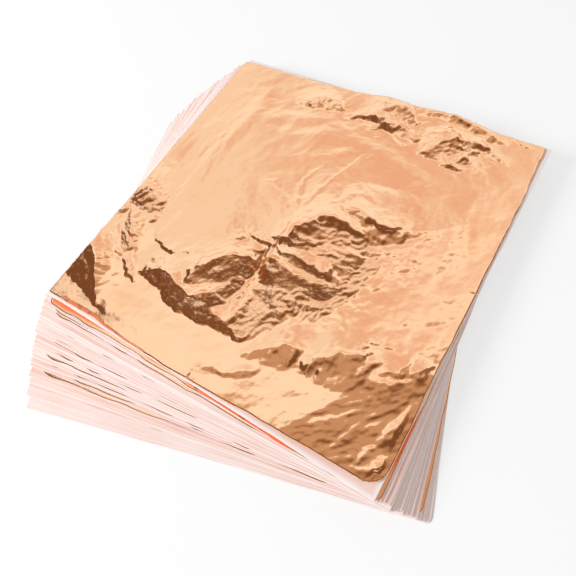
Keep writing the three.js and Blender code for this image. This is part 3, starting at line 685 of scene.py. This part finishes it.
def round_corners(x, y, half, radius):
    """Rounds the corners of a square grid, by one radius or one for each point."""
    straight = half - radius
    over_x = np.clip(np.abs(x) - straight, 0, None)
    over_y = np.clip(np.abs(y) - straight, 0, None)
    reach = np.hypot(over_x, over_y)
    pull = np.where(reach > 0, np.maximum(over_x, over_y) / np.maximum(reach, TINY), 1)
    in_corner = (over_x > 0) & (over_y > 0)
    new_x = np.where(in_corner, np.sign(x) * (straight + over_x * pull), x)
    new_y = np.where(in_corner, np.sign(y) * (straight + over_y * pull), y)
    return new_x, new_y


def wander(x, y, near_edge, in_long, in_short, lengths, seed):
    """Lets the edges of a sheet wander in long and short waves, along x and then y."""
    long, short = lengths
    place = [x, y]
    for axis in range(2):
        x, y = place
        shift = in_long * smooth_noise(x / long, y / long, seed + 2 * axis)
        shift = shift + in_short[axis] * smooth_noise(x / short, y / short, seed + 2 * axis + 1)
        place[axis] = place[axis] + near_edge * shift
    return place


def rim_spacing(half, cells):
    """Grid lines across a sheet, closer towards its edges."""
    t = np.linspace(-1, 1, cells + 1)
    widest = math.pi / 2 * RIM_CLOSENESS
    return half * np.sin(t * widest) / math.sin(widest)


def grid_faces(count, first=0, flip=False):
    """Quads of a square grid of count points a side, numbered from first."""
    i = np.arange(count - 1)
    corner = (i[:, None] * count + i[None, :]).ravel() + first
    quads = np.stack([corner, corner + 1, corner + count + 1, corner + count], -1)
    return quads[:, ::-1] if flip else quads


def border(count, first=0):
    """The point numbers round the border of a square grid, from its first point."""
    i = np.arange(count - 1)
    return first + np.concatenate([i, i * count + count - 1, count * count - 1 - i, (count - 1 - i) * count])


def add_object(name, data):
    """A new object in the scene."""
    item = bpy.data.objects.new(name, data)
    bpy.context.scene.collection.objects.link(item)
    return item


def mesh_object(name, points, faces, material):
    """A smooth mesh in the scene, with its material."""
    mesh = bpy.data.meshes.new(name)
    mesh.from_pydata(points.tolist(), [], [list(map(int, f)) for f in faces])
    mesh.materials.append(material)
    mesh.shade_smooth()
    mesh.update()
    return add_object(name, mesh)


def closed_sheet(name, top, under, span, material):
    """A closed mesh between two square grids. Each cell of the lower one spans so many of the upper."""
    count, under_count = math.isqrt(len(top)), math.isqrt(len(under))
    above, below = border(count), border(under_count, len(top))
    faces = [*grid_faces(count), *grid_faces(under_count, len(top), flip=True)]
    for k in range(len(below)):
        strip = [above[(k * span + s) % len(above)] for s in range(span, -1, -1)]
        faces.append([below[k], below[(k + 1) % len(below)], *strip])
    return mesh_object(name, np.concatenate([top, under]), faces, material)


def set_attribute(piece, name, values, span):
    """Stores a number for each point of a closed sheet."""
    both = np.concatenate([values.ravel(), values[::span, ::span].ravel()])
    attribute = piece.data.attributes.new(name, "FLOAT", "POINT")
    attribute.data.foreach_set("value", both.astype(np.float32))


def new_material(name):
    """A material, its nodes, and the shader among them."""
    material = bpy.data.materials.new(name)
    material.use_nodes = True
    tree = material.node_tree
    return material, tree, tree.nodes["Principled BSDF"]


def feed(tree, socket, value):
    """Sets an input to a constant, or links it to an output."""
    if isinstance(value, bpy.types.NodeSocket):
        tree.links.new(value, socket)
    else:
        socket.default_value = value


def set_inputs(tree, node, **inputs):
    """Sets a node's inputs by name, where an underscore stands for a space."""
    for name, value in inputs.items():
        feed(tree, node.inputs[name.replace("_", " ")], value)


def add_node(tree, kind, **inputs):
    """A new node with its inputs set by name."""
    node = tree.nodes.new(kind)
    set_inputs(tree, node, **inputs)
    return node


def number_node(tree, operation, first, second, kind="ShaderNodeMath"):
    """A number worked out from two inputs."""
    node = tree.nodes.new(kind)
    node.operation = operation
    feed(tree, node.inputs[0], first)
    feed(tree, node.inputs[1], second)
    return node.outputs["Value"]


def noise_node(tree, place, spots, detail, **others):
    """Noise from 0 to 1, with so many spots to a metre."""
    noise = add_node(tree, "ShaderNodeTexNoise", Vector=place, Scale=spots, Detail=detail, **others)
    return noise.outputs["Fac"]


def ramp_node(tree, value, tones):
    """The colour at a value, between tones given as (value, colour)."""
    ramp = add_node(tree, "ShaderNodeValToRGB", Fac=value)
    stops = ramp.color_ramp.elements
    for number, (position, colour) in enumerate(tones):
        stop = stops[number] if number < 2 else stops.new(position)
        stop.position = position
        stop.color = (*colour, 1)
    return ramp.outputs["Color"]


def mix_node(tree, first, second, share):
    """The colour between two others."""
    mix = tree.nodes.new("ShaderNodeMix")
    mix.data_type = "RGBA"
    set_inputs(tree, mix, A=first, B=second, Factor=share)
    return mix.outputs["Result"]


def attribute_node(tree, name):
    """A number that the mesh stores for each of its points."""
    attribute = tree.nodes.new("ShaderNodeAttribute")
    attribute.attribute_name = name
    return attribute.outputs["Fac"]


def copper_material():
    """Foil with a fine grain, creases where crumpled, and painted reddish reflection and shade on its rims.
    """
    material, tree, shader = new_material("copper_leaf")
    place = tree.nodes.new("ShaderNodeTexCoord").outputs["Object"]
    tone = ramp_node(tree, noise_node(tree, place, TONE_SPOTS, 3), COPPER_TONES)
    # Painted reflection of foil on foil: reddish, with dark specks of painted shade, and not metal
    painted_reflection_tone = ramp_node(tree, noise_node(tree, place, PAINTED_REFLECTION_SPOTS, 2), PAINTED_REFLECTION_TONES)
    painted_reflection = attribute_node(tree, "painted_reflection")
    colour = mix_node(tree, tone, painted_reflection_tone, painted_reflection)
    metal = number_node(tree, "SUBTRACT", 1, painted_reflection)
    grain = noise_node(tree, place, COPPER_SPOTS, 5)
    low, high = COPPER_ROUGHNESS
    rough = add_node(tree, "ShaderNodeMapRange", Value=grain, To_Min=low, To_Max=high)
    bump = add_node(tree, "ShaderNodeBump", Strength=GRAIN_STRENGTH, Distance=COPPER_GRAIN, Height=grain)
    crumpled = attribute_node(tree, "crumpled")
    creases = noise_node(tree, place, CREASE_SPOTS, 4, Roughness=CREASE_HARSHNESS)
    crumple = add_node(tree, "ShaderNodeBump", Strength=crumpled, Distance=CREASE_GRAIN, Height=creases)
    set_inputs(tree, crumple, Normal=bump.outputs["Normal"])
    set_inputs(tree, shader, Base_Color=colour, Metallic=metal, Roughness=rough.outputs["Result"],
               Normal=crumple.outputs["Normal"])
    return material


def tissue_material():
    """Thin paper with short fibres, its own tint on each sheet, paler stripes and a painted rim highlight.
    """
    material, tree, shader = new_material("tissue")
    place = tree.nodes.new("ShaderNodeTexCoord").outputs["Object"]
    layers = add_node(tree, "ShaderNodeMapping", Vector=place, Scale=TINT_SPOTS)
    tint = ramp_node(tree, noise_node(tree, layers.outputs["Vector"], 1, 2), TISSUE_TONES)
    # Paler stripes, and a painted highlight on the rim
    colour = mix_node(tree, tint, (*TISSUE_PALE_AND_HIGHLIGHT, 1), attribute_node(tree, "paleness_and_painted_highlight"))
    fibre = noise_node(tree, place, FIBRE_SPOTS, 5)
    bump = add_node(tree, "ShaderNodeBump", Strength=GRAIN_STRENGTH, Distance=FIBRE_GRAIN, Height=fibre)
    set_inputs(tree, shader, Base_Color=colour, Roughness=TISSUE_ROUGHNESS,
               Specular_IOR_Level=TISSUE_SHEEN, Normal=bump.outputs["Normal"])
    return material


def flat_outline(pair, is_leaf, half, corner):
    """Points of a flat sheet, worn and slipped, and how far in from the edge each was."""
    x, y, inset = square_grid(rim_spacing(half, SHEET_CELLS))
    if is_leaf and pair > WORN_BELOW:
        corner = np.where((x < 0) & (y < 0), WORN_CORNER, corner)
    if not is_leaf:
        grown = corner + CORNER_GROWTH * max(pair - GROWS_BELOW, 0)
        corner = np.where((x > 0) & (y < 0), grown, corner)
    x, y = round_corners(x, y, half, corner)
    x = x * (1 - SIDE_TRIMS.get(pair, 0) / half)
    level = pair - is_leaf
    if level > SLIDES_BELOW:
        y = y - PAIR_SLIDE * (2 * hash01(level, *SLIDE_SEEDS) - 1)
    if is_leaf:
        left, right = SLIPS.get(pair, USUAL_SLIP)
        slip = np.interp(x, (-half, half), (left, right))
        x = x + SIDE_SLIPS.get(pair, 0) + (right - left) / 2 * y / half
        y = y - slip
    near_edge = fade(inset, 0, WANDER_SHARE * half)
    seed = SEEDS_PER_PAIR * pair + LEAF_SEED * is_leaf
    x, y = wander(x, y, near_edge, *(LEAF_WANDER if is_leaf else TISSUE_WANDER), seed)
    return x, y, inset


def next_leaf_painted_reflection(x, y, inset):
    """Painted reflection on the second leaf, along its front edge and on a stretch of its right one."""
    starts = np.interp(x, *np.transpose(NEXT_RIM))
    front = fade(inset - starts, NEXT_RIM_START, 0) * fade(inset, *NEXT_RIM_FADE)
    front = front * (y < 0) * (x < NEXT_RIM_END)
    side = fade(np.abs(y - SIDE_RIM_MIDDLE), *SIDE_RIM_FADE) * (x > SIDE_RIM_FROM)
    return np.maximum(front, side)


def tissue_paleness_and_highlight(pair, inset):
    """Paleness of a tissue: in stripes, a painted highlight on its rim, and all over in the lowest pairs."""
    step = np.minimum(np.arange(SHEET_CELLS + 1), np.arange(SHEET_CELLS, -1, -1))
    ring = np.minimum(*np.meshgrid(step, step))
    stripes = STRIPE_PALENESS * hash01(ring, pair, STRIPE_SEED) ** 2 * fade(inset, *STRIPE_FADE)
    paleness_and_painted_highlight = np.maximum(stripes, fade(inset, 0, HIGHLIGHT_RIM))
    return np.maximum(paleness_and_painted_highlight, PALER_STEP * max(pair - PALER_BELOW, 0))


def make_flat_sheet(node, thickness, corner, material):
    """A thin, slightly waved sheet in the place of a flat solid."""
    *place, side = node_place(node)
    pair, is_leaf = int(node[-2:]), node.startswith("leaf")
    x, y, inset = flat_outline(pair, is_leaf, round(side / MM, 3) / 2, corner)
    seed = SEEDS_PER_PAIR * pair + WAVE_SEED
    wave = WAVE_HEIGHT * smooth_noise(x / WAVE_LENGTH, y / WAVE_LENGTH, seed)
    lift = PAIR_SHIFT * (2 * hash01(pair, *SHIFT_SEEDS) - 1)
    if pair == PAIR_COUNT:
        wave, lift = np.abs(wave), 0
    z = wave + lift - (LEAF_DROP if is_leaf else 0)
    top = to_frame(x, y, z + thickness, *place)
    under = to_frame(x, y, z, *place)
    piece = closed_sheet(node + "_sheet", top, under, 1, material)
    if is_leaf:
        # The second leaf carries a painted reflection of foil on foil along its rims
        painted_reflection = next_leaf_painted_reflection(x, y, inset) if pair == NEXT_PAIR else np.zeros_like(x)
        set_attribute(piece, "painted_reflection", painted_reflection, 1)
    else:
        # Paler stripes, and a painted highlight on the rim
        set_attribute(piece, "paleness_and_painted_highlight", tissue_paleness_and_highlight(pair, inset), 1)
    return piece


def lowest_near(height):
    """The lowest height round each point of the coarser underside."""
    padded = np.pad(height, UNDERSIDE_SPAN, mode="edge")
    window = 2 * UNDERSIDE_SPAN + 1
    around = np.lib.stride_tricks.sliding_window_view(padded, (window, window))
    return around[::UNDERSIDE_SPAN, ::UNDERSIDE_SPAN].min(axis=(2, 3))


def top_outline(x, y, inset, half, height):
    """Gives the uppermost leaf its corners and its wandering, bent edges."""
    front_left, front_right, back_left, back_right = TOP_CORNERS
    front = np.where(x < 0, front_left, front_right)
    back = np.where(x < 0, back_left, back_right)
    x, y = round_corners(x, y, half, np.where(y < 0, front, back))
    near_edge = fade(inset, 0, WANDER_REACH)
    x, y = wander(x, y, near_edge, *TOP_WANDER, TOP_SEED)
    y = y + near_edge * (y < 0) * np.interp(x, *np.transpose(FRONT_EDGE))
    x = x + near_edge * (x > 0) * np.interp(y, *np.transpose(RIGHT_EDGE))
    x = x + fade(x + half, 0, LEFT_REACH) * LEFT_PULL * height[:, :1]
    return x, y


def make_top_leaf(node, material):
    """The crumpled leaf: a fine relief, with a coarser face that keeps below it."""
    *place, side = node_place(node)
    half = round(side / MM, 3) / 2
    x, y, inset = square_grid(np.linspace(-half, half, LEAF_CELLS + 1))
    height, crumpled = leaf_relief(x, y)
    low = lowest_near(height)
    rim_width = np.interp(x, *np.transpose(TOP_RIM))
    front_rim = fade(half + y, 0, np.maximum(rim_width, LEAST_RIM)) * (rim_width > LEAST_RIM)
    height = height * (1 - RIM_FLATTENING * front_rim)
    x, y = top_outline(x, y, inset, half, height)
    top = to_frame(x, y, height + LEAF_THICKNESS, *place)
    span = UNDERSIDE_SPAN
    under = to_frame(x[::span, ::span], y[::span, ::span], low, *place)
    piece = closed_sheet("top_leaf_foil", top, under, span, material)
    # The bent-down front rim carries a painted reflection of foil on foil
    set_attribute(piece, "painted_reflection", np.clip(PAINTED_REFLECTION_GAIN * front_rim, 0, 1), span)
    set_attribute(piece, "crumpled", crumpled, span)
    return piece


def make_sheets():
    """Every leaf and tissue, riding on its body in the place of its solid."""
    copper, tissue = copper_material(), tissue_material()
    for body, nodes in frame["record"]["behaviour"]["bodies"].items():
        for node in nodes:
            is_leaf = node.startswith("leaf")
            if node == "leaf_01":
                piece = make_top_leaf(node, copper)
            elif is_leaf:
                piece = make_flat_sheet(node, LEAF_THICKNESS, LEAF_CORNER, copper)
            else:
                piece = make_flat_sheet(node, TISSUE_THICKNESS, TISSUE_CORNER, tissue)
            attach(piece, body)
            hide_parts(node)


def floor_material():
    """Pale and matt, with a glow to the eye and in mirrors that lights nothing."""
    material, tree, shader = new_material("floor")
    set_inputs(tree, shader, Base_Color=(*FLOOR, 1), Roughness=FLOOR_ROUGHNESS)
    path = tree.nodes.new("ShaderNodeLightPath")
    seen = path.outputs["Is Camera Ray"]
    for ray in ("Is Glossy Ray", "Is Transmission Ray"):
        seen = number_node(tree, "MAXIMUM", seen, path.outputs[ray])
    both = add_node(tree, "ShaderNodeMixShader", Fac=number_node(tree, "MULTIPLY", seen, FLOOR_GLOW))
    feed(tree, both.inputs[1], shader.outputs[0])
    feed(tree, both.inputs[2], tree.nodes.new("ShaderNodeEmission").outputs[0])
    feed(tree, tree.nodes["Material Output"].inputs["Surface"], both.outputs[0])
    return material


def make_floor():
    """A plain floor under the pad."""
    corners = FLOOR_REACH * np.array([(-1, -1, 0), (1, -1, 0), (1, 1, 0), (-1, 1, 0)])
    floor = mesh_object("floor", corners, [(0, 1, 2, 3)], floor_material())


def surroundings_colour(tree, direction):
    """Colour of the surroundings in each direction, as the foil mirrors them."""
    split = add_node(tree, "ShaderNodeSeparateXYZ", Vector=direction)
    far = number_node(tree, "DOT_PRODUCT", direction, FAR_SIDE, "ShaderNodeVectorMath")
    angle = number_node(tree, "ARCTAN2", split.outputs["Z"], far)
    share = number_node(tree, "DIVIDE", angle, math.pi)
    colour = ramp_node(tree, share, [(degrees / HALF_TURN, tone) for degrees, tone in SURROUNDINGS])
    for _, towards, inner, outer, tone in PANELS:
        edge, full = math.cos(math.radians(outer)), math.cos(math.radians(inner))
        facing = number_node(tree, "DOT_PRODUCT", direction, towards, "ShaderNodeVectorMath")
        inside = add_node(tree, "ShaderNodeMapRange", Value=facing, From_Min=edge, From_Max=full)
        colour = mix_node(tree, colour, (*tone, 1), inside.outputs["Result"])
    return colour


def make_world():
    """Even daylight, with the surroundings only where something shiny mirrors them."""
    world = bpy.data.worlds.new("studio")
    bpy.context.scene.world = world
    world.use_nodes = True
    tree = world.node_tree
    place = tree.nodes.new("ShaderNodeTexCoord")
    path = tree.nodes.new("ShaderNodeLightPath")
    daylight = (DAYLIGHT, DAYLIGHT, DAYLIGHT, 1)
    seen = mix_node(tree, daylight, (*BRIGHT, 1), path.outputs["Is Camera Ray"])
    mirrored = surroundings_colour(tree, place.outputs["Generated"])
    colour = mix_node(tree, seen, mirrored, path.outputs["Is Glossy Ray"])
    feed(tree, tree.nodes["Background"].inputs["Color"], colour)


def make_lamp():
    """A round soft lamp that looks at the pad and isn't mirrored."""
    light = bpy.data.lights.new("left_lamp", "AREA")
    light.shape = "DISK"
    light.size = LAMP_SIZE
    light.energy = LAMP_WATTS
    lamp = add_object("left_lamp", light)
    lamp.location = LAMP_PLACE
    lamp.rotation_euler = (-LAMP_PLACE).to_track_quat("-Z", "Y").to_euler()
    lamp.visible_glossy = False


def make_camera():
    """The camera that took the photograph."""
    data = bpy.data.cameras.new("camera")
    data.sensor_width = SENSOR_WIDTH
    data.lens = FOCAL_PIXELS / FRAME_PIXELS * SENSOR_WIDTH
    data.clip_start = CLIP_START
    camera = add_object("camera", data)
    place = Matrix.Translation(CAMERA_PLACE)
    for degrees, axis in CAMERA_TURNS:
        place = place @ Matrix.Rotation(math.radians(degrees), 4, axis)
    camera.matrix_world = place
    bpy.context.scene.camera = camera


make_camera()
make_world()
make_floor()
make_lamp()
make_sheets()
bpy.context.scene.view_settings.view_transform = "Standard"
